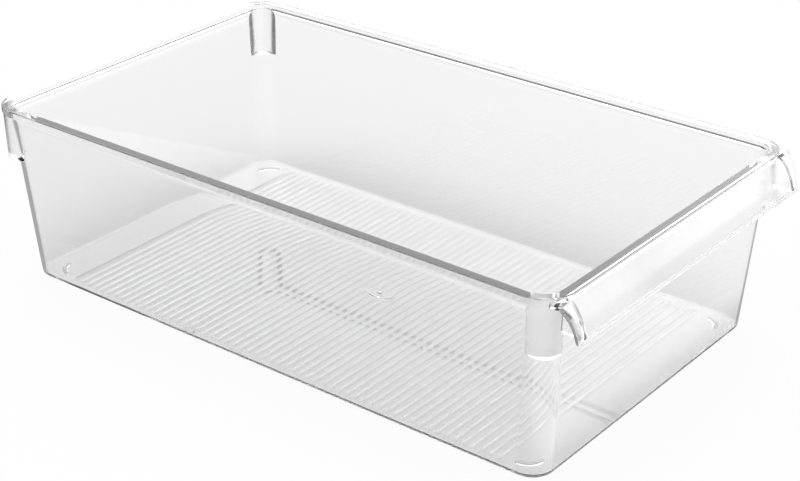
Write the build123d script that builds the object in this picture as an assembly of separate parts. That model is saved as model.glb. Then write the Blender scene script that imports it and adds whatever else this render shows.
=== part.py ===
"""Clear open-top fridge bin with a pull lip, drawn as the named regions of one moulding.

Millimetres, +Z up. The tub is drawn about its own middle, and every region is moved at the end
so that the origin lies on the shelf, under the middle of the whole bin, with the lip at -Y.
"""
import os
from math import cos, radians, sqrt, tan

from build123d import *

# Tub
rim_length = 335.0       # over the rim, without the lip
rim_width = 200.0
height = 95.0            # shelf to rim top
wall = 1.8
draft_angle = 3.75       # degrees, every wall leans outwards
corner_radius = 11.6     # outside of the upright corners
corner_land = 1.0        # flat wall that stays with each corner region
toe_radius = 3.0         # outside bend from floor to wall
inner_toe_radius = 1.2

# Rim
rim_overhang = 3.8
rim_depth = 3.8
rim_round = 0.6

# Nesting stops, the round columns under the rim's corners
stop_radius = 8.2
stop_drop = 29.0         # rim top to the stop's foot
stop_margin = 0.5        # stop's crown inside the rim's corner
stop_taper = 1.3         # degrees
stop_round = 1.0

# Pull lip and its two webs
lip_end_inset = 7.0      # rim's side to the lip's end
lip_reach = 10.0         # beyond the rim
lip_drop = 18.0          # rim top to the lip's lower edge
lip_bulge = 1.6          # rise of the outer face over its chord
lip_hollow = 1.2         # rise of the inner face over its chord
lip_tip = 2.4            # thickness at the lower edge
lip_tip_round = 1.0
lip_end_round = 0.9
web_thickness = 2.0
web_inset = 4.0          # lip's end to the web
web_clear = 0.8          # lip's lower edge to the web's

# Floor
floor_thickness = 2.0
rib_pitch = 4.74
rib_field_margin = 19.4  # end of the flat floor to the stretch that the ribs cover
rib_width = 2.0
rib_height = 0.4
rib_margin = 4.0         # rib's end to the edge of the flat floor
pad_length = 16.0        # oval pad round the moulding gate
pad_width = 9.0
pip_radius = 1.3
pip_height = 0.4
foot_height = 0.8
foot_radius = 8.2        # to the middle of the foot's band
foot_width = 2.6
foot_inset = 17.5        # tub's bottom corner to the foot's centre
foot_arc = 76.0          # degrees
foot_bearing = 225.0     # degrees, from the foot's centre to the front left corner

overrun = 2.0            # how far every cutter passes what it cuts

# Heights and places worked out from the values above
floor_under = foot_height
floor_top = floor_under + floor_thickness
rim_under = height - rim_depth
front_face = -rim_length / 2
rim_corner_radius = corner_radius + rim_overhang
lip_length = rim_width - 2 * lip_end_inset
wall_across = wall / cos(radians(draft_angle))


def half_sizes(z):
    """Half width and half length of the tub's outside at height z, corners left square."""
    lean = (height - z) * tan(radians(draft_angle))
    return rim_width / 2 - rim_overhang - lean, rim_length / 2 - rim_overhang - lean


foot_half_width, foot_half_length = half_sizes(floor_under)
flat_half_width = foot_half_width - toe_radius
flat_half_length = foot_half_length - toe_radius
split_x = foot_half_width - corner_radius - corner_land
split_y = foot_half_length - corner_radius - corner_land


def tub_block(bottom, top, inset, corner, toe):
    """Drafted block with rounded upright corners and a rounded toe."""
    half_width, half_length = half_sizes(bottom)
    base = Pos(0, 0, bottom) * Rectangle(2 * (half_width - inset), 2 * (half_length - inset))
    block = extrude(base, amount=top - bottom, taper=-draft_angle)
    block = fillet(block.edges().filter_by(Plane.XY, reverse=True), corner)
    return fillet(block.faces().sort_by(Axis.Z)[0].edges(), toe)


def rim_ring(outside):
    """Flange all round the mouth, outside the walls."""
    outline = RectangleRounded(rim_width, rim_length, rim_corner_radius)
    slab = extrude(Pos(0, 0, rim_under) * outline, amount=rim_depth)
    rounded = slab.faces().filter_by(Axis.Z).edges()
    return fillet(rounded, rim_round) - outside


def floor_panel():
    """Flat floor with its cross ribs and the oval pad round the gate."""
    outline = RectangleRounded(2 * flat_half_width, 2 * flat_half_length, corner_radius - toe_radius)
    plate = extrude(Pos(0, 0, floor_under) * outline, amount=floor_thickness)
    crown = ThreePointArc((-rib_width / 2, 0), (0, rib_height), (rib_width / 2, 0))
    section = make_face(crown + Line(crown @ 1, crown @ 0))
    rib_count = round(2 * (flat_half_length - rib_field_margin) / rib_pitch)
    rows = Sketch() + [place * section for place in GridLocations(rib_pitch, 0, rib_count, 1)]
    rib_ends = Plane.YZ.offset(rib_margin - flat_half_width)
    ribs = extrude(rib_ends * Pos(0, floor_top) * rows, amount=2 * (flat_half_width - rib_margin))
    pad_outline = Pos(0, 0, floor_top) * Ellipse(pad_width / 2, pad_length / 2)
    ribs -= extrude(pad_outline, amount=rib_height + overrun)
    pad = extrude(pad_outline, amount=rib_height)
    pip = extrude(Pos(0, 0, floor_top + rib_height) * Circle(pip_radius), amount=pip_height)
    return plate + ribs + pad + pip


def nesting_stop(outside):
    """Round column under the rim's front left corner, closed at its foot."""
    reach = (rim_corner_radius - stop_margin - stop_radius) / sqrt(2)
    centre_x = -rim_width / 2 + rim_corner_radius - reach
    centre_y = -rim_length / 2 + rim_corner_radius - reach
    top = Plane((centre_x, centre_y, rim_under), z_dir=(0, 0, -1)) * Circle(stop_radius)
    column = extrude(top, amount=stop_drop - rim_depth, taper=stop_taper)
    column = fillet(column.faces().sort_by(Axis.Z)[0].edges(), stop_round)
    return column - outside


def lip_outlines():
    """Sections of the lip and of the space behind it, in the YZ plane."""
    root_top = (front_face, height - rim_round)
    root_under = (front_face, rim_under + rim_round)
    tip_out = (front_face - lip_reach, height - lip_drop)
    tip_in = (front_face - lip_reach + lip_tip, height - lip_drop)
    deep_top = (front_face + rim_corner_radius, height - rim_round)
    deep_under = (front_face + rim_corner_radius, rim_under + rim_round)
    outer = SagittaArc(root_top, tip_out, -lip_bulge)
    inner = SagittaArc(tip_in, root_under, lip_hollow)
    root = Polyline(root_under, deep_under, deep_top, root_top)
    sheet = make_face(outer + Line(tip_out, tip_in) + inner + root)
    sheet = fillet(sheet.vertices().sort_by(Axis.Y)[:2], lip_tip_round)
    behind_under = (front_face + rim_corner_radius, height - lip_drop)
    behind = make_face(inner + Polyline(root_under, deep_under, behind_under, tip_in))
    lip_end = Plane.YZ.offset(-lip_length / 2)
    return lip_end * sheet, lip_end * behind


def pull_lip(outside, ring):
    """Curved lip along the front rim, with rounded ends and a rounded lower edge."""
    sheet, _ = lip_outlines()
    lip = extrude(sheet, amount=lip_length)
    crown = lip.faces().sort_by(Axis.Y)[0]
    lip = fillet(crown.edges().filter_by(Axis.X, reverse=True), lip_end_round)
    return lip - ring - outside


def lip_web(outside, ring, stop):
    """Upright web between the left nesting stop and the lip."""
    _, behind = lip_outlines()
    web = Pos(web_inset, 0, 0) * extrude(behind, amount=web_thickness)
    below = Pos(0, front_face, height - lip_drop) * Box(lip_length, 2 * rim_length, 2 * web_clear)
    return web - below - ring - outside - stop


def foot():
    """Arc-shaped foot under the floor's front left corner."""
    centre = (foot_inset - foot_half_width, foot_inset - foot_half_length)
    start = foot_bearing - foot_arc / 2
    band = SlotArc(CenterArc(centre, foot_radius, start, foot_arc), foot_width)
    return extrude(band, amount=foot_height)


def region(solid, x_low, x_high, y_low, y_high):
    """The stretch of a solid between two X and two Y planes."""
    size_x = x_high - x_low
    size_y = y_high - y_low
    place = Pos(x_low + size_x / 2, y_low + size_y / 2, height / 2)
    return solid & (place * Box(size_x, size_y, height + 2 * overrun))


def sides_and_corners(solid, straight, rounded):
    """Cut a ring round the tub into four straight sides and four corners, with their names."""
    far_x = rim_width
    far_y = rim_length
    return {
        straight.format("left"): region(solid, -far_x, -split_x, -split_y, split_y),
        straight.format("right"): region(solid, split_x, far_x, -split_y, split_y),
        straight.format("front"): region(solid, -split_x, split_x, -far_y, -split_y),
        straight.format("rear"): region(solid, -split_x, split_x, split_y, far_y),
        rounded.format("front_left"): region(solid, -far_x, -split_x, -far_y, -split_y),
        rounded.format("front_right"): region(solid, split_x, far_x, -far_y, -split_y),
        rounded.format("rear_left"): region(solid, -far_x, -split_x, split_y, far_y),
        rounded.format("rear_right"): region(solid, split_x, far_x, split_y, far_y),
    }


def four_corners(name, front_left):
    """A front left piece and its three mirror images, with their names."""
    front_right = mirror(front_left, about=Plane.YZ)
    return {
        name.format("front_left"): front_left,
        name.format("front_right"): front_right,
        name.format("rear_left"): mirror(front_left, about=Plane.XZ),
        name.format("rear_right"): mirror(front_right, about=Plane.XZ),
    }


def build():
    """Every region of the bin, by name, about the tub's own middle."""
    outside = tub_block(floor_under, height + overrun, 0, corner_radius, toe_radius)
    inside = tub_block(floor_top, height + overrun, wall_across, corner_radius - wall, inner_toe_radius)
    above = Pos(0, 0, height + overrun) * Box(2 * rim_width, 2 * rim_length, 2 * overrun)
    floor_plug = RectangleRounded(2 * flat_half_width, 2 * flat_half_length, corner_radius - toe_radius)
    walls = outside - inside - above - extrude(floor_plug, amount=height)
    ring = rim_ring(outside)
    stop = nesting_stop(outside)
    web = lip_web(outside, ring, stop)
    regions = {"floor_panel": floor_panel()}
    regions.update(sides_and_corners(walls, "{}_wall", "corner_{}"))
    regions.update(sides_and_corners(ring, "rim_{}", "rim_corner_{}"))
    regions.update(four_corners("nesting_stop_{}", stop))
    regions.update(four_corners("foot_{}", foot()))
    regions["pull_lip"] = pull_lip(outside, ring)
    regions["lip_web_left"] = web
    regions["lip_web_right"] = mirror(web, about=Plane.YZ)
    return regions


regions = build()
lip_front = regions["pull_lip"].bounding_box().min.Y
middle = (lip_front + rim_length / 2) / 2
os.makedirs("parts", exist_ok=True)
for name, solid in regions.items():
    export_step(Pos(0, -middle, 0) * solid, f"parts/{name}.step")
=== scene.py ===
"""Looks of a clear moulded fridge bin with a pull lip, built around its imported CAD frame.

Metres, +Z up, the lip at -Y. The bin is one moulding, so its regions are joined into one closed
skin: light then bends only where plastic meets air, as it does in the real bin.
"""
import logging
import math
from dataclasses import dataclass
from enum import Enum
from functools import cached_property
from typing import Iterator, Sequence

import bmesh
import bpy
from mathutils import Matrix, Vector


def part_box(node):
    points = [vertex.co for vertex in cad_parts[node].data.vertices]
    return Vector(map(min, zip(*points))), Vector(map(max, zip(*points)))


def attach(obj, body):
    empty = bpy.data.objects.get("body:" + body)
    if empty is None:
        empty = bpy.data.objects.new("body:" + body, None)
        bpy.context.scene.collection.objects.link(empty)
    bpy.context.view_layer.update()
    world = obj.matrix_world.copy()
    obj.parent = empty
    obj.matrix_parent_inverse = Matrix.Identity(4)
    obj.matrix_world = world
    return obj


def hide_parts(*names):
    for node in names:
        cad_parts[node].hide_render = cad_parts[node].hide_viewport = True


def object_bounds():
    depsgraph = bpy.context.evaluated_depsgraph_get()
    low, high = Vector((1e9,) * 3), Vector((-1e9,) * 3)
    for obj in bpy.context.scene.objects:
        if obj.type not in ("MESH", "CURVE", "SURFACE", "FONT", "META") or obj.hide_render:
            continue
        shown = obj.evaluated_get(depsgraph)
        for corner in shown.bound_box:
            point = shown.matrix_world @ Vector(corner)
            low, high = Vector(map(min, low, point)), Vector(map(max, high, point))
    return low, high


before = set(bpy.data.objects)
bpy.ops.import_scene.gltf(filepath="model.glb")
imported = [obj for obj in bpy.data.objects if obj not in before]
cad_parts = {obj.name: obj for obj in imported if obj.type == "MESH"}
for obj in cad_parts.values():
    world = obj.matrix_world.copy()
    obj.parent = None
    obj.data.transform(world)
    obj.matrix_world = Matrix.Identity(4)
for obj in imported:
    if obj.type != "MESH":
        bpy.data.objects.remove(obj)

CAD_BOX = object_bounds()
BODY = "root"
LOG = logging.getLogger("fridge_bin")

Point = tuple[float, float, float]
Plan = tuple[float, float]
Ring = list[bmesh.types.BMVert]


class Corner(Enum):
    """The bin's four upright corners, as the signs of X and of Y from the tub's middle."""

    REAR_RIGHT = (1, 1)
    REAR_LEFT = (-1, 1)
    FRONT_LEFT = (-1, -1)
    FRONT_RIGHT = (1, -1)

    @property
    def bearing(self) -> float:
        """Angle in the XY plane from the tub's middle towards this corner, as a diagonal."""
        return math.atan2(self.value[1], self.value[0])


class Side(Enum):
    """The two ends of the pull lip, as the sign of X."""

    LEFT = -1
    RIGHT = 1


class Sketch:
    """A closed mesh under construction, made of rings of points and the faces between them."""

    def __init__(self, name: str) -> None:
        """Start an empty mesh under the name that the finished object gets."""
        self.name = name
        self.bm = bmesh.new()

    def ring(self, points: Sequence[Point]) -> Ring:
        """Add one ring of points, whose vertices come back in the same order."""
        return [self.bm.verts.new(point) for point in points]

    def bridge(self, lower: Ring, upper: Ring, closed: bool = True) -> None:
        """Put one strip of quads between two rings of as many points.

        Args:
            lower: The first ring's vertices.
            upper: The second ring's vertices.
            closed: Whether the strip runs on from the last point to the first.
        """
        count = len(lower)
        for index in range(count if closed else count - 1):
            following = (index + 1) % count
            self.bm.faces.new((lower[index], lower[following], upper[following], upper[index]))

    def loft(self, rings: Sequence[Sequence[Point]]) -> None:
        """Put strips between all the rings in turn and close the first and the last with a face.

        Args:
            rings: The rings' points, each ring with as many points as the others.
        """
        made = [self.ring(points) for points in rings]
        for lower, upper in zip(made, made[1:]):
            self.bridge(lower, upper)
        self.bm.faces.new(made[0])
        self.bm.faces.new(made[-1])

    def finish(self) -> bpy.types.Object:
        """Turn every face outwards and make the object.

        Returns:
            The new object, linked to the scene.
        """
        bmesh.ops.recalc_face_normals(self.bm, faces=self.bm.faces)
        mesh = bpy.data.meshes.new(self.name)
        self.bm.to_mesh(mesh)
        self.bm.free()
        made = bpy.data.objects.new(self.name, mesh)
        bpy.context.scene.collection.objects.link(made)
        return made


def steps(count: int) -> Iterator[float]:
    """Shares from 0 to 1 in even steps.

    Args:
        count: How many steps there are.

    Returns:
        The shares, one more than the steps.
    """
    return (index / count for index in range(count + 1))


def arc(centre: Plan, radius: float, start: float, end: float, count: int) -> list[Plan]:
    """Points along an arc.

    Args:
        centre: The arc's centre.
        radius: Its radius.
        start: Angle of the first point.
        end: Angle of the last point.
        count: How many steps the arc has.

    Returns:
        The points in order.
    """
    angles = [start + (end - start) * share for share in steps(count)]
    return [(centre[0] + radius * math.cos(a), centre[1] + radius * math.sin(a)) for a in angles]


def bend(start: Plan, pull: Plan, end: Plan, count: int) -> list[Plan]:
    """Points along a smooth bend between two points.

    Args:
        start: The first point.
        pull: The point that the bend leaves the first point towards and reaches the last point from.
        end: The last point.
        count: How many steps the bend has.

    Returns:
        The points in order.
    """
    made = []
    for share in steps(count):
        rest = 1 - share
        point = Vector(start) * rest ** 2 + Vector(pull) * (2 * rest * share) + Vector(end) * share ** 2
        made.append((point.x, point.y))
    return made


@dataclass(frozen=True)
class TubSizes:
    """What every sub-assembly needs to know about the tub, read from the CAD frame.

    Half sizes are measured from the tub's middle, which lies behind the origin by middle_y.
    """

    half_width: float
    half_length: float
    middle_y: float
    height: float
    rim_under: float
    wall_half_width: float
    wall_half_length: float
    floor_under: float
    foot_half_width: float
    toe_radius: float = 0.003
    corner_radius: float = 0.0116
    wall: float = 0.0018
    floor_thickness: float = 0.002

    @classmethod
    def from_frame(cls) -> "TubSizes":
        """Read the sizes off the boxes of the CAD nodes.

        Returns:
            The tub's sizes.
        """
        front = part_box("rim_front")[0].y
        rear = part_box("rim_rear")[1].y
        low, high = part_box("rim_right")
        return cls(
            half_width=high.x,
            half_length=(rear - front) / 2,
            middle_y=(rear + front) / 2,
            height=high.z,
            rim_under=low.z,
            wall_half_width=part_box("right_wall")[1].x,
            wall_half_length=(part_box("rear_wall")[1].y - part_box("front_wall")[0].y) / 2,
            floor_under=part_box("floor_panel")[0].z,
            foot_half_width=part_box("floor_panel")[1].x + cls.toe_radius,
        )

    @property
    def floor_top(self) -> float:
        """Height of the flat floor inside the tub."""
        return self.floor_under + self.floor_thickness

    @property
    def lean(self) -> float:
        """How far a wall moves outwards for each metre of height."""
        return (self.wall_half_width - self.foot_half_width) / (self.height - self.floor_under)

    @property
    def draft(self) -> float:
        """Angle between the walls and the upright."""
        return math.atan(self.lean)

    @property
    def wall_across(self) -> float:
        """Wall thickness measured level."""
        return self.wall / math.cos(self.draft)

    def outside(self, z: float) -> float:
        """Half width of the tub's outside at the height z, without rim and toe."""
        return self.wall_half_width - (self.height - z) * self.lean

    def outline(self, reach: float, z: float, count: int) -> list[Point]:
        """Rounded rectangle round the tub at one height.

        Args:
            reach: Half width of the rectangle.
            z: Its height.
            count: How many steps each rounded corner has.

        Returns:
            The points, anticlockwise from above, in the CAD frame.
        """
        radius = self.corner_radius + reach - self.outside(z)
        middle_x = reach - radius
        middle_y = middle_x + self.wall_half_length - self.wall_half_width
        points = []
        for corner in Corner:
            centre = (corner.value[0] * middle_x, corner.value[1] * middle_y + self.middle_y)
            start = corner.bearing - math.pi / 4
            points += [(x, y, z) for x, y in arc(centre, radius, start, start + math.pi / 2, count)]
        return points


class NodeSheet:
    """Short ways to add and join the nodes of one material or world."""

    def __init__(self, tree: bpy.types.NodeTree) -> None:
        """Take up the tree that gets the nodes."""
        self.tree = tree

    def add(self, kind: str, **values: object) -> bpy.types.Node:
        """Add one node.

        Args:
            kind: The node's type.
            values: Sockets by name, with _ for a blank, as numbers to set or as sockets to join.

        Returns:
            The new node.
        """
        made = self.tree.nodes.new(kind)
        for name, value in values.items():
            self.put(made.inputs[name.replace("_", " ")], value)
        return made

    def put(self, socket: bpy.types.NodeSocket, value: object) -> None:
        """Set or join one input socket.

        Args:
            socket: The input.
            value: A number, a colour or an output socket.
        """
        if isinstance(value, bpy.types.NodeSocket):
            self.tree.links.new(value, socket)
        else:
            socket.default_value = value

    def math(self, operation: str, first: object, second: object) -> bpy.types.NodeSocket:
        """Work out one number from two.

        Args:
            operation: The sum's name in the node.
            first: A number or a socket.
            second: A number or a socket.

        Returns:
            The result.
        """
        made = self.add("ShaderNodeMath")
        made.operation = operation
        self.put(made.inputs[0], first)
        self.put(made.inputs[1], second)
        return made.outputs["Value"]

    def choose(self, share: bpy.types.NodeSocket, off: object, on: object) -> bpy.types.NodeSocket:
        """Go from one number or socket to another by a share, 0 for off and 1 for on."""
        return self.add("ShaderNodeMix", Factor=share, A=off, B=on).outputs["Result"]

    def mirrored(self, path: bpy.types.Node) -> bpy.types.NodeSocket:
        """1 for light paths that the bin's gloss has mirrored, 0 for any other."""
        return self.math("GREATER_THAN", path.outputs["Glossy Depth"], 0.5)

    def ramp(self, value: bpy.types.NodeSocket, span: Plan, levels: Plan) -> bpy.types.NodeSocket:
        """Turn a stretch of values smoothly into a stretch of levels.

        Args:
            value: The value.
            span: Where the stretch starts and ends.
            levels: The levels at its start and end.

        Returns:
            The level.
        """
        made = self.add("ShaderNodeMapRange", Value=value, From_Min=span[0], From_Max=span[1],
                        To_Min=levels[0], To_Max=levels[1])
        made.interpolation_type = "SMOOTHSTEP"
        return made.outputs["Result"]


@dataclass(frozen=True)
class ClearPlastic:
    """Clear moulded plastic, glossy with satin stretches, faintly grey along a long way through it."""

    colour: Point = (0.99, 0.99, 0.992)
    refraction: float = 1.57
    roughness: Plan = (0.008, 0.022)
    satin_roughness: float = 0.28
    satin_mark: str = "satin"
    haze_scale: float = 26.0
    ripple_scale: float = 18.0
    ripple_strength: float = 0.02
    ripple_depth: float = 0.0004
    absorption: Point = (0.62, 0.61, 0.63)
    density: float = 5.5

    def material(self) -> bpy.types.Material:
        """Make the node material.

        Returns:
            The clear plastic.
        """
        made = bpy.data.materials.new("clear_moulded_plastic")
        made.use_nodes = True
        sheet = NodeSheet(made.node_tree)
        shader = made.node_tree.nodes["Principled BSDF"]
        shader.inputs["Base Color"].default_value = (*self.colour, 1)
        shader.inputs["IOR"].default_value = self.refraction
        shader.inputs["Transmission Weight"].default_value = 1
        place = sheet.add("ShaderNodeTexCoord").outputs["Object"]
        haze = sheet.add("ShaderNodeTexNoise", Vector=place, Scale=self.haze_scale)
        satin = sheet.add("ShaderNodeAttribute")
        satin.attribute_name = self.satin_mark
        gloss = sheet.ramp(haze.outputs["Fac"], (0, 1), self.roughness)
        roughness = sheet.choose(satin.outputs["Fac"], gloss, self.satin_roughness)
        sheet.put(shader.inputs["Roughness"], roughness)
        ripple = sheet.add("ShaderNodeTexNoise", Vector=place, Scale=self.ripple_scale)
        bump = sheet.add("ShaderNodeBump", Strength=self.ripple_strength, Distance=self.ripple_depth,
                         Height=ripple.outputs["Fac"])
        sheet.put(shader.inputs["Normal"], bump.outputs["Normal"])
        inside = sheet.add("ShaderNodeVolumeAbsorption", Color=(*self.absorption, 1), Density=self.density)
        sheet.put(made.node_tree.nodes["Material Output"].inputs["Volume"], inside.outputs["Volume"])
        return made


@dataclass(frozen=True)
class WhiteTable:
    """Plain white table that stays white to the eye and keeps the bin's shadow, with a painted shadow under
    and behind the bin that shows in the bin's gloss.
    """

    colour: Point = (0.95, 0.95, 0.95)
    glow_seen: float = 0.96
    glow_through: float = 0.43
    # Painted shadow seen only in the bin's gloss: the Y span where the table's mirrored glow drops, and its
    # levels before and behind the bin.
    mirrored_span: Plan = (-0.172, -0.154)
    mirrored_levels: Plan = (1.05, 0.4)

    def material(self) -> bpy.types.Material:
        """Make the node material.

        Returns:
            The table's white, with a painted shadow: in the bin's gloss it mirrors darker behind and under
            the bin than before it.
        """
        made = bpy.data.materials.new("white_table_painted_shadow")
        made.use_nodes = True
        made.node_tree.nodes.remove(made.node_tree.nodes["Principled BSDF"])
        sheet = NodeSheet(made.node_tree)
        path = sheet.add("ShaderNodeLightPath")
        mirrored = sheet.mirrored(path)
        seen = sheet.math("MULTIPLY", path.outputs["Is Camera Ray"], self.glow_seen)
        through = sheet.math("MULTIPLY", path.outputs["Is Transmission Ray"], self.glow_through)
        share = sheet.math("MAXIMUM", mirrored, sheet.math("MAXIMUM", seen, through))
        # Painted shadow: the mirrored glow is set by Y, darker under and behind the bin.
        spot = sheet.add("ShaderNodeNewGeometry").outputs["Position"]
        place = sheet.add("ShaderNodeSeparateXYZ", Vector=spot)
        level = sheet.ramp(place.outputs["Y"], self.mirrored_span, self.mirrored_levels)
        glow = sheet.add("ShaderNodeEmission", Strength=sheet.choose(mirrored, 1, level))
        lit = sheet.add("ShaderNodeBsdfDiffuse", Color=(*self.colour, 1))
        mix = sheet.add("ShaderNodeMixShader", Fac=share)
        sheet.put(mix.inputs[1], lit.outputs["BSDF"])
        sheet.put(mix.inputs[2], glow.outputs["Emission"])
        sheet.put(made.node_tree.nodes["Material Output"].inputs["Surface"], mix.outputs["Shader"])
        return made


@dataclass
class RibField:
    """Cross ribs on the tub's floor, with flat lands between them."""

    tub: TubSizes
    pitch: float = 0.00474
    count: int = 57
    width: float = 0.0021
    height: float = 0.00014
    margin: float = 0.004
    end_round: float = 0.0016
    land_edge: float = 0.0001
    least_rise: float = 0.000001
    crown_steps: int = 12
    end_steps: int = 4

    @property
    def half_reach(self) -> float:
        """Half the length of a rib."""
        return self.tub.foot_half_width - self.tub.toe_radius - self.margin

    def columns(self) -> list[tuple[float, float]]:
        """Places along a rib, each with the share of the rib's height there.

        Returns:
            Pairs of X and height share, from the left end to the right end.
        """
        ends = []
        for share in steps(self.end_steps):
            angle = share * math.pi / 2
            ends.append((self.half_reach - self.end_round * (1 - math.sin(angle)), math.cos(angle)))
        return [(-x, share) for x, share in reversed(ends)] + ends

    def rows(self) -> list[Plan]:
        """Places across the ribs, each with the height of the crown there.

        Returns:
            Pairs of Y and height over the floor, from the front to the rear.
        """
        made = []
        for index in range(self.count):
            centre = self.tub.middle_y + (index - (self.count - 1) / 2) * self.pitch
            made.append((centre - self.width / 2 - self.land_edge, 0))
            for share in steps(self.crown_steps):
                rise = self.height * (1 - math.cos(2 * math.pi * share)) / 2
                made.append((centre + (share - 0.5) * self.width, rise))
            made.append((centre + self.width / 2 + self.land_edge, 0))
        return made

    def has(self, place: Vector) -> bool:
        """Whether a place on the bin's skin is on a rib.

        Args:
            place: The place.

        Returns:
            True on a rib, False on a land or elsewhere.
        """
        beside = abs(place.x) < self.half_reach
        along = abs(place.y - self.tub.middle_y) < self.count * self.pitch / 2
        return beside and along and self.least_rise < place.z - self.tub.floor_top < self.height

    def build(self, sketch: Sketch) -> Ring:
        """Add the ribs and lands to the tub's mesh.

        Args:
            sketch: The tub's mesh.

        Returns:
            The vertices round the edge of the field, in order.
        """
        columns = self.columns()
        grid = []
        for y, rise in self.rows():
            grid.append(sketch.ring([(x, y, self.tub.floor_top + rise * share) for x, share in columns]))
        for front, rear in zip(grid, grid[1:]):
            sketch.bridge(front, rear, closed=False)
        right = [row[-1] for row in grid[1:-1]]
        left = [row[0] for row in grid[1:-1]]
        return grid[0] + right + grid[-1][::-1] + left[::-1]


@dataclass
class Tub:
    """Floor, walls and rim of the bin, as one closed shell."""

    sizes: TubSizes
    ribs: RibField
    inner_toe_radius: float = 0.0005
    rim_round: float = 0.0006
    rim_inner_round: float = 0.0009
    rim_root_round: float = 0.0032
    rim_underside_rise: float = 0.0002
    flare: float = 0.00012
    flare_height: float = 0.016
    corner_steps: int = 20
    toe_steps: int = 8
    round_steps: int = 8
    flare_steps: int = 8

    def toe(self, floor: float, reach: float, radius: float) -> list[Plan]:
        """Rounded bend from a floor up into a leaning wall.

        Args:
            floor: Height of the floor.
            reach: Half width of the wall at that height.
            radius: The bend's radius.

        Returns:
            Pairs of half width and height, from the floor to the wall.
        """
        draft = self.sizes.draft
        centre = (reach + radius * math.tan(draft) - radius / math.cos(draft), floor + radius)
        return arc(centre, radius, -math.pi / 2, -draft, self.toe_steps)

    def section(self) -> list[Plan]:
        """The shell's section, from under the floor out over the rim and down to the inner floor.

        Returns:
            Pairs of half width and height.
        """
        s = self.sizes
        quarter = math.pi / 2
        outer = self.toe(s.floor_under, s.foot_half_width, s.toe_radius)
        flare_foot = s.rim_under - self.flare_height
        for share in steps(self.flare_steps):
            z = flare_foot + share * (self.flare_height - self.rim_root_round)
            outer.append((s.outside(z) + self.flare * share ** 2, z))
        rise = math.atan(self.rim_underside_rise / (s.half_width - s.outside(s.rim_under)))
        root = (s.outside(s.rim_under) + self.flare + self.rim_root_round, s.rim_under - self.rim_root_round)
        rim = arc(root, self.rim_root_round, math.pi - s.draft, quarter + rise, self.round_steps)[1:]
        r = self.rim_round
        edge = s.rim_under + self.rim_underside_rise
        rim += arc((s.half_width - r, edge + r), r, rise - quarter, 0, self.round_steps)
        rim += arc((s.half_width - r, s.height - r), r, 0, quarter, self.round_steps)
        r = self.rim_inner_round
        mouth = s.outside(s.height) - s.wall_across
        rim += arc((mouth + r, s.height - r), r, quarter, math.pi - s.draft, self.round_steps)
        inner = self.toe(s.floor_top, s.outside(s.floor_top) - s.wall_across, self.inner_toe_radius)
        return outer + rim + inner[::-1]

    def build(self) -> bpy.types.Object:
        """Sweep the section round the tub and fill the floor on both sides.

        Returns:
            The shell.
        """
        sketch = Sketch("bin")
        rings = []
        for reach, z in self.section():
            rings.append(sketch.ring(self.sizes.outline(reach, z, self.corner_steps)))
        for lower, upper in zip(rings, rings[1:]):
            sketch.bridge(lower, upper)
        sketch.bm.faces.new(rings[0])
        field_edge = self.ribs.build(sketch)
        edges = []
        for loop in (rings[-1], field_edge):
            for start, end in zip(loop, loop[1:] + loop[:1]):
                edges.append(sketch.bm.edges.get((start, end)) or sketch.bm.edges.new((start, end)))
        bmesh.ops.triangle_fill(sketch.bm, edges=edges, use_beauty=True, normal=(0, 0, 1))
        return sketch.finish()


@dataclass
class GateMark:
    """Oval pad and pip that the moulding gate leaves in the middle of the floor."""

    tub: TubSizes
    half_width: float = 0.0045
    half_length: float = 0.008
    pad_height: float = 0.0004
    pad_edge_share: float = 0.14
    pip_radius: float = 0.0013
    pip_height: float = 0.0008
    pip_edge_share: float = 0.7
    sunk: float = 0.001
    around: int = 48
    dome_steps: int = 5

    def dome(self, name: str, half: Plan, floor: float, rise: float, edge_share: float) -> bpy.types.Object:
        """A flat oval dome with a rounded edge, which stands a little sunk in what carries it.

        Args:
            name: The mesh's name.
            half: Half the oval's width and length.
            floor: Height of what carries the dome.
            rise: Height of the dome over it.
            edge_share: Share of the half sizes that the rounded edge takes.

        Returns:
            The closed dome.
        """
        rings = [(1.0, floor - self.sunk)]
        for share in steps(self.dome_steps):
            angle = share * math.pi / 2
            rings.append((1 - edge_share * (1 - math.cos(angle)), floor + rise * math.sin(angle)))
        sketch = Sketch(name)
        outlines = []
        for size, z in rings:
            ring = []
            for index in range(self.around):
                angle = 2 * math.pi * index / self.around
                x = size * half[0] * math.cos(angle)
                y = size * half[1] * math.sin(angle)
                ring.append((x, y + self.tub.middle_y, z))
            outlines.append(ring)
        sketch.loft(outlines)
        return sketch.finish()

    def build(self) -> list[bpy.types.Object]:
        """Make the pad and the pip on it.

        Returns:
            The two closed meshes.
        """
        floor = self.tub.floor_top
        pad_top = floor + self.pad_height
        pad_half = (self.half_width, self.half_length)
        pip_half = (self.pip_radius, self.pip_radius)
        pad = self.dome("gate_pad", pad_half, floor, self.pad_height, self.pad_edge_share)
        pip = self.dome("gate_pip", pip_half, pad_top, self.pip_height, self.pip_edge_share)
        return [pad, pip]


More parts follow.
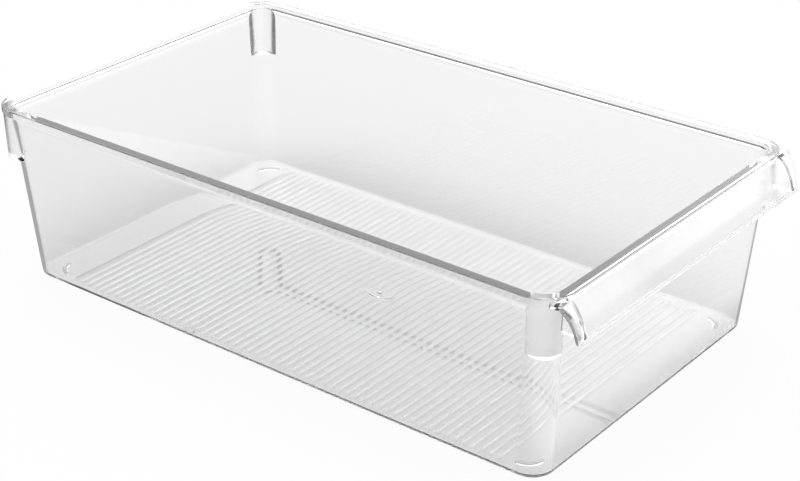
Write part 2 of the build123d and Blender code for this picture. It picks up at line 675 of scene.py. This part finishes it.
@dataclass
class Foot:
    """Curved foot under one corner of the floor."""

    tub: TubSizes
    corner: Corner
    radius: float = 0.0082
    width: float = 0.0026
    inset: float = 0.0175
    sweep: float = math.radians(76)
    edge_round: float = 0.0007
    sunk: float = 0.001
    arc_steps: int = 20
    end_steps: int = 6
    round_steps: int = 5

    def outline(self, inward: float, z: float) -> list[Point]:
        """Curved slot round the middle line of the foot.

        Args:
            inward: How far the outline lies inside the foot's full width.
            z: Height of the outline.

        Returns:
            The outline's points in order.
        """
        half = self.width / 2 - inward
        length_over_width = self.tub.wall_half_length - self.tub.wall_half_width
        x = self.corner.value[0] * (self.tub.foot_half_width - self.inset)
        y = self.corner.value[1] * (self.tub.foot_half_width + length_over_width - self.inset)
        centre = (x, y + self.tub.middle_y)
        start = self.corner.bearing - self.sweep / 2
        end = self.corner.bearing + self.sweep / 2
        first = arc(centre, self.radius, start, start, 1)[0]
        last = arc(centre, self.radius, end, end, 1)[0]
        points = arc(centre, self.radius + half, start, end, self.arc_steps)
        points += arc(last, half, end, end + math.pi, self.end_steps)[1:-1]
        points += arc(centre, self.radius - half, end, start, self.arc_steps)
        points += arc(first, half, start + math.pi, start + 2 * math.pi, self.end_steps)[1:-1]
        return [(px, py, z) for px, py in points]

    def build(self) -> bpy.types.Object:
        """Make the foot from its resting face up into the floor.

        Returns:
            The closed foot.
        """
        sketch = Sketch(f"foot_{self.corner.name.lower()}")
        rings = []
        for share in steps(self.round_steps):
            angle = share * math.pi / 2
            inward = self.edge_round * (1 - math.sin(angle))
            rings.append(self.outline(inward, self.edge_round * (1 - math.cos(angle))))
        sketch.loft(rings + [self.outline(0, self.tub.floor_under + self.sunk)])
        return sketch.finish()


@dataclass
class NestingStop:
    """Round column under one rim corner, which lands on the rim of the bin below."""

    tub: TubSizes
    corner: Corner
    radius: float = 0.0082
    taper: float = math.radians(1.3)
    foot_round: float = 0.001
    arc_steps: int = 28
    round_steps: int = 5
    height_steps: int = 6

    @property
    def node(self) -> str:
        """Name of the CAD node that this stop stands for."""
        return f"nesting_stop_{self.corner.name.lower()}"

    @cached_property
    def box(self) -> tuple[Vector, Vector]:
        """Box of the CAD stop."""
        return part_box(self.node)

    @cached_property
    def centre(self) -> Plan:
        """Middle of the column from the tub's own middle, X and Y both taken as positive."""
        low, high = self.box
        x = max(abs(low.x), abs(high.x)) - self.radius
        y = max(abs(low.y - self.tub.middle_y), abs(high.y - self.tub.middle_y)) - self.radius
        return x, y

    def wall_centre(self, z: float) -> Vector:
        """Centre of the wall's rounded corner at the height z, X and Y both taken as positive."""
        reach = self.tub.outside(z) - self.tub.corner_radius
        return Vector((reach, reach + self.tub.wall_half_length - self.tub.wall_half_width))

    def outline(self, z: float, inward: float) -> list[Point]:
        """Outline of the column where it stands proud of the wall, closed inside the wall.

        Args:
            z: Height of the outline.
            inward: How far the column's round side is drawn in.

        Returns:
            The outline's points in order.
        """
        tub = self.tub
        top = self.box[1].z
        round_side = self.radius - (top - z) * math.tan(self.taper) - inward
        centre = Vector(self.centre)
        wall_centre = self.wall_centre(z)
        middle_of_wall = tub.corner_radius - tub.wall / 2
        apart = (centre - wall_centre).length
        turn = math.acos((middle_of_wall ** 2 - apart ** 2 - round_side ** 2) / (2 * apart * round_side))
        inner = math.asin(round_side * math.sin(turn) / middle_of_wall)
        diagonal = math.pi / 4
        points = arc(tuple(centre), round_side, diagonal - turn, diagonal + turn, self.arc_steps)
        back = arc(tuple(wall_centre), middle_of_wall, diagonal + inner, diagonal - inner, self.arc_steps)
        points += back[1:-1]
        sign_x, sign_y = self.corner.value
        return [(sign_x * x, sign_y * y + tub.middle_y, z) for x, y in points]

    def has(self, place: Vector, margin: float) -> bool:
        """Whether a place on the bin's skin is on the column's round side.

        Args:
            place: The place.
            margin: How far it has to stand proud of the wall.

        Returns:
            True on the round side, False elsewhere.
        """
        if place.z > self.tub.rim_under:
            return False
        x = place.x * self.corner.value[0]
        y = (place.y - self.tub.middle_y) * self.corner.value[1]
        spot = Vector((x, y))
        beyond_wall = (spot - self.wall_centre(place.z)).length > self.tub.corner_radius + margin
        return beyond_wall and (spot - Vector(self.centre)).length < self.radius + margin

    def build(self) -> bpy.types.Object:
        """Make the column from its rounded foot up into the rim.

        Returns:
            The closed column.
        """
        low, high = self.box
        rings = []
        for share in steps(self.round_steps):
            angle = share * math.pi / 2
            z = low.z + self.foot_round * (1 - math.cos(angle))
            rings.append(self.outline(z, self.foot_round * (1 - math.sin(angle))))
        rise = high.z - low.z - self.foot_round
        for share in list(steps(self.height_steps))[1:]:
            rings.append(self.outline(low.z + self.foot_round + rise * share, 0))
        rings.append(self.outline((self.tub.rim_under + self.tub.height) / 2, 0))
        sketch = Sketch(self.node)
        sketch.loft(rings)
        return sketch.finish()


@dataclass
class PullLip:
    """Curved lip along the front rim, with a web at each end."""

    tub: TubSizes
    tip: float = 0.0024
    outer_pull: Plan = (0.007, 0.0043)
    inner_pull: Plan = (0.0046, 0.0075)
    root_round: float = 0.0006
    end_round: float = 0.0036
    end_depth: float = 0.0019
    end_flare: float = 0.0035
    sunk: float = 0.0042
    web_sunk: float = 0.0008
    curve_steps: int = 14
    end_steps: int = 7

    @cached_property
    def box(self) -> tuple[Vector, Vector]:
        """Box of the CAD lip."""
        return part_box("pull_lip")

    @property
    def front(self) -> float:
        """Y of the front rim's face."""
        return self.tub.middle_y - self.tub.half_length

    @property
    def reach(self) -> float:
        """How far the lip stands out from the rim."""
        return self.front - self.box[0].y

    def outer(self) -> list[Plan]:
        """Outer face from the rim down to the lower edge.

        Returns:
            Pairs of reach in front of the rim and height.
        """
        start = (0, self.tub.height - self.root_round)
        pull = (self.outer_pull[0], self.tub.height - self.outer_pull[1])
        return bend(start, pull, (self.reach, self.box[0].z), self.curve_steps)

    def inner(self) -> list[Plan]:
        """Inner face from the rim's underside down to the lower edge.

        Returns:
            Pairs of reach in front of the rim and height.
        """
        start = (0, self.tub.rim_under + self.root_round)
        pull = (self.inner_pull[0], self.tub.height - self.inner_pull[1])
        return bend(start, pull, (self.reach - self.tip, self.box[0].z), self.curve_steps)

    def section(self, inward: float) -> list[Plan]:
        """The lip's section, with its root sunk in the rim.

        Args:
            inward: How far the outer face is drawn in at this place.

        Returns:
            The section's points in order.
        """
        outer = self.outer()
        inner = self.inner()
        drawn = []
        for place, other in zip(outer, inner):
            across = Vector(other) - Vector(place)
            moved = Vector(place) + across.normalized() * min(inward, across.length / 2)
            drawn.append((moved.x, moved.y))
        tip_out = Vector(drawn[-1])
        tip_in = Vector(inner[-1])
        middle = (tip_out + tip_in) / 2
        half = (tip_in - tip_out).length / 2
        lift = Vector((0, half))
        drawn[-1] = tuple(tip_out + lift)
        inner[-1] = tuple(tip_in + lift)
        tip = arc(tuple(middle + lift), half, 0, -math.pi, self.end_steps)[1:-1]
        root = [(-self.sunk, inner[0][1]), (-self.sunk, drawn[0][1])]
        return drawn + tip + inner[::-1] + root

    def build(self) -> bpy.types.Object:
        """Sweep the section along the rim, drawn in at both rounded ends.

        Returns:
            The closed lip.
        """
        low, high = self.box
        stations = []
        for share in steps(self.end_steps):
            angle = share * math.pi / 2
            stations.append((self.end_round * (1 - math.cos(angle)), self.end_depth * (1 - math.sin(angle))))
        places = [(low.x + s, inward, Side.LEFT) for s, inward in stations]
        places += [(high.x - s, inward, Side.RIGHT) for s, inward in reversed(stations)]
        sketch = Sketch("pull_lip")
        rings = []
        for x, inward, side in places:
            ring = []
            for reach, z in self.section(inward):
                left = 1 - max(0.0, reach) / self.reach
                ring.append((x + side.value * self.end_flare * left ** 2, self.front - reach, z))
            rings.append(ring)
        sketch.loft(rings)
        return sketch.finish()

    def web(self, side: Side) -> bpy.types.Object:
        """Upright web between the lip and the nesting stop at one end.

        Args:
            side: Which end of the lip.

        Returns:
            The closed web.
        """
        name = f"lip_web_{side.name.lower()}"
        low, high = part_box(name)
        behind = [(reach + self.web_sunk, z) for reach, z in self.inner() if z >= low.z]
        behind[0] = (behind[0][0], self.tub.rim_under + self.web_sunk)
        wall = self.front - (self.tub.middle_y - self.tub.wall_half_length)
        foot = wall - (self.tub.height - low.z) * self.tub.lean - self.web_sunk
        head = wall - (self.tub.height - self.tub.rim_under) * self.tub.lean - self.web_sunk
        outline = behind + [(behind[-1][0], low.z), (foot, low.z), (head, behind[0][1])]
        sketch = Sketch(name)
        sketch.loft([[(x, self.front - reach, z) for reach, z in outline] for x in (low.x, high.x)])
        return sketch.finish()


@dataclass
class FridgeBin:
    """The whole bin: its sub-assemblies joined into one skin and dressed."""

    sizes: TubSizes
    finish: ClearPlastic
    weld: float = 0.000002
    crease: float = math.radians(26)
    satin_margin: float = 0.0003
    rib_satin: float = 1.0
    lip_satin: float = 0.55
    lip_polish: float = 0.02
    stop_satin: float = 0.8

    def regions(self) -> list[bpy.types.Object]:
        """Make what is joined to the tub.

        Returns:
            Closed meshes, each sunk a little in what carries it.
        """
        lip = PullLip(self.sizes)
        made = [NestingStop(self.sizes, corner).build() for corner in Corner]
        made.append(lip.build())
        made += [lip.web(side) for side in Side]
        made += [Foot(self.sizes, corner).build() for corner in Corner]
        return made + GateMark(self.sizes).build()

    def join(self, tub: bpy.types.Object, region: bpy.types.Object) -> None:
        """Unite one region with the tub and drop it.

        Args:
            tub: The mesh that grows.
            region: The mesh that is taken in.
        """
        union = tub.modifiers.new("union", "BOOLEAN")
        union.operation = "UNION"
        union.solver = "EXACT"
        union.object = region
        graph = bpy.context.evaluated_depsgraph_get()
        joined = bpy.data.meshes.new_from_object(tub.evaluated_get(graph))
        tub.modifiers.clear()
        tub.data = joined
        bpy.data.objects.remove(region)

    def smooth(self, tub: bpy.types.Object) -> int:
        """Weld what the unions left double, mark the creases and keep flat faces flat.

        Args:
            tub: The joined mesh.

        Returns:
            How many edges don't have a face on both sides.
        """
        bm = bmesh.new()
        bm.from_mesh(tub.data)
        bmesh.ops.remove_doubles(bm, verts=bm.verts, dist=self.weld)
        bmesh.ops.dissolve_degenerate(bm, edges=bm.edges, dist=self.weld)
        open_edges = sum(1 for edge in bm.edges if len(edge.link_faces) != 2)
        bm.to_mesh(tub.data)
        bm.free()
        tub.data.shade_smooth()
        tub.data.set_sharp_from_angle(angle=self.crease)
        flat = tub.modifiers.new("flat_faces", "WEIGHTED_NORMAL")
        flat.keep_sharp = True
        return open_edges

    def mark_satin(self, piece: bpy.types.Object) -> int:
        """Mark the faces that the mould leaves satin: those of the ribs, the stops and the lip's face.

        Args:
            piece: The joined mesh.

        Returns:
            How many faces are satin.
        """
        lip_root = self.sizes.middle_y - self.sizes.half_length - self.satin_margin
        lip_end = self.sizes.half_width - self.lip_polish
        ribs = RibField(self.sizes)
        stops = [NestingStop(self.sizes, corner) for corner in Corner]
        mark = piece.data.attributes.new(self.finish.satin_mark, "FLOAT", "FACE")
        count = 0
        for face in piece.data.polygons:
            satin = 0.0
            if ribs.has(face.center):
                satin = self.rib_satin
            elif face.center.y < lip_root and abs(face.center.x) < lip_end:
                satin = self.lip_satin
            elif any(stop.has(face.center, self.satin_margin) for stop in stops):
                satin = self.stop_satin
            mark.data[face.index].value = satin
            count += satin > 0
        return count

    def build(self) -> bpy.types.Object:
        """Join every region into one skin.

        Returns:
            The bin.
        """
        made = Tub(self.sizes, RibField(self.sizes)).build()
        for region in self.regions():
            name = region.name
            self.join(made, region)
            LOG.info("joined %s: %d faces", name, len(made.data.polygons))
        LOG.info("open edges: %d", self.smooth(made))
        LOG.info("satin faces: %d", self.mark_satin(made))
        return made

    def dress(self, piece: bpy.types.Object) -> None:
        """Give the bin its finish and set it on its body.

        Args:
            piece: The bin.
        """
        piece.data.materials.clear()
        piece.data.materials.append(self.finish.material())
        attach(piece, BODY)
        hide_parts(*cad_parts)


def bearing(heading: float, elevation: float) -> Vector:
    """Direction from a heading and an elevation.

    Args:
        heading: Angle from +Y towards +X.
        elevation: Angle over the level.

    Returns:
        The unit direction.
    """
    level = math.cos(elevation)
    return Vector((math.sin(heading) * level, math.cos(heading) * level, math.sin(elevation)))


@dataclass(frozen=True)
class Softbox:
    """Large soft lamp over the table, faced at the bin."""

    heading: float = math.radians(52)
    elevation: float = math.radians(80)
    distance: float = 1.6
    width: float = 2.0
    radiance: float = 1.3
    watts_per_radiance: float = 4.0

    def build(self, target: Vector) -> bpy.types.Object:
        """Make the lamp.

        Args:
            target: The point that the lamp faces.

        Returns:
            The lamp.
        """
        lamp = bpy.data.lights.new("top_softbox", "AREA")
        lamp.size = self.width
        lamp.energy = self.watts_per_radiance * self.width ** 2 * self.radiance
        made = bpy.data.objects.new("top_softbox", lamp)
        way = bearing(self.heading, self.elevation)
        made.location = target + way * self.distance
        made.rotation_euler = (-way).to_track_quat("-Z", "Y").to_euler()
        made.visible_camera = False
        bpy.context.scene.collection.objects.link(made)
        return made


@dataclass(frozen=True)
class Glow:
    """Soft bright patch of the surroundings, which the bin's gloss mirrors."""

    heading: float
    elevation: float
    spread: float
    radiance: float

    def level(self, sheet: NodeSheet, way: bpy.types.NodeSocket) -> bpy.types.NodeSocket:
        """Add the patch to the surroundings.

        Args:
            sheet: The world's nodes.
            way: Direction of a ray.

        Returns:
            How bright the patch is in that direction.
        """
        towards = sheet.add("ShaderNodeVectorMath")
        towards.operation = "DOT_PRODUCT"
        sheet.put(towards.inputs[0], way)
        sheet.put(towards.inputs[1], bearing(self.heading, self.elevation))
        return sheet.ramp(towards.outputs["Value"], (math.cos(self.spread), 1), (0, self.radiance))


@dataclass(frozen=True)
class Camera:
    """The photograph's viewpoint: a long lens above the bin's near left corner."""

    place: Point = (-0.6393, -0.5103, 0.4477)
    heading: float = math.radians(51.81)
    dip: float = math.radians(26.84)
    lens: float = 83.41
    sensor: float = 36.0

    def build(self) -> bpy.types.Object:
        """Make the camera and set it as the scene's.

        Returns:
            The camera.
        """
        data = bpy.data.cameras.new("camera")
        data.lens = self.lens
        data.sensor_width = self.sensor
        made = bpy.data.objects.new("camera", data)
        made.location = self.place
        made.rotation_euler = bearing(self.heading, -self.dip).to_track_quat("-Z", "Y").to_euler()
        bpy.context.scene.collection.objects.link(made)
        bpy.context.scene.camera = made
        return made


@dataclass
class Studio:
    """White table, a soft lamp, white surroundings and the camera."""

    table: WhiteTable
    lamp: Softbox
    glows: tuple[Glow, ...]
    camera: Camera
    table_half: float = 6.0
    fill: float = 0.5
    mirrored_span: Plan = (0.0, 0.7)
    mirrored_levels: Plan = (0.6, 0.25)
    bounces: int = 32
    mirror_bounces: int = 14

    def build_table(self) -> bpy.types.Object:
        """Make the table top.

        Returns:
            The table, marked as stage.
        """
        half = self.table_half
        mesh = bpy.data.meshes.new("table")
        square = [(-half, -half, 0), (half, -half, 0), (half, half, 0), (-half, half, 0)]
        mesh.from_pydata(square, [], [(0, 1, 2, 3)])
        mesh.materials.append(self.table.material())
        made = bpy.data.objects.new("table", mesh)
        bpy.context.scene.collection.objects.link(made)
        return made

    def build_world(self) -> None:
        """Make surroundings that are white to the eye and through the bin, and soft lights in its gloss."""
        world = bpy.data.worlds.new("white_surroundings")
        bpy.context.scene.world = world
        world.use_nodes = True
        sheet = NodeSheet(world.node_tree)
        path = sheet.add("ShaderNodeLightPath")
        way = sheet.add("ShaderNodeTexCoord").outputs["Generated"]
        height = sheet.add("ShaderNodeSeparateXYZ", Vector=way).outputs["Z"]
        mirrored = sheet.ramp(height, self.mirrored_span, self.mirrored_levels)
        for glow in self.glows:
            mirrored = sheet.math("ADD", mirrored, glow.level(sheet, way))
        white = sheet.math("MAXIMUM", path.outputs["Is Camera Ray"], path.outputs["Is Transmission Ray"])
        plain = sheet.choose(white, self.fill, 1)
        in_gloss = sheet.mirrored(path)
        backdrop = world.node_tree.nodes["Background"]
        backdrop.inputs["Color"].default_value = (1, 1, 1, 1)
        sheet.put(backdrop.inputs["Strength"], sheet.choose(in_gloss, plain, mirrored))

    def set_light_paths(self) -> None:
        """Let light cross the many clear faces, and leave out the lamp's focused glints."""
        scene = bpy.context.scene
        scene.view_settings.view_transform = "Standard"
        scene.cycles.max_bounces = self.bounces
        scene.cycles.transmission_bounces = self.bounces
        scene.cycles.glossy_bounces = self.mirror_bounces
        scene.cycles.caustics_reflective = False
        scene.cycles.caustics_refractive = False
        scene.cycles.use_denoising = True

    def build(self, target: Vector) -> None:
        """Set up everything round the bin.

        Args:
            target: Middle of the bin, which the lamp faces.
        """
        self.build_table()
        self.build_world()
        self.lamp.build(target)
        self.camera.build()
        self.set_light_paths()


# Bright patches that the gloss mirrors: behind the bin, low behind it, and off its right front.
BACK_GLOW = Glow(math.radians(50), math.radians(30), math.radians(46), 1.9)
LOW_GLOW = Glow(math.radians(66), math.radians(8), math.radians(30), 1.5)
FRONT_GLOW = Glow(math.radians(115), math.radians(25), math.radians(55), 1.7)


def main() -> None:
    """Build the bin and its studio."""
    logging.basicConfig(level=logging.INFO, format="%(name)s: %(message)s")
    bin_maker = FridgeBin(TubSizes.from_frame(), ClearPlastic())
    fridge_bin = bin_maker.build()
    bin_maker.dress(fridge_bin)
    LOG.info("piece %s: %d faces", fridge_bin.name, len(fridge_bin.data.polygons))
    studio = Studio(WhiteTable(), Softbox(), (BACK_GLOW, LOW_GLOW, FRONT_GLOW), Camera())
    studio.build((CAD_BOX[0] + CAD_BOX[1]) / 2)


if __name__ == "__main__":
    main()
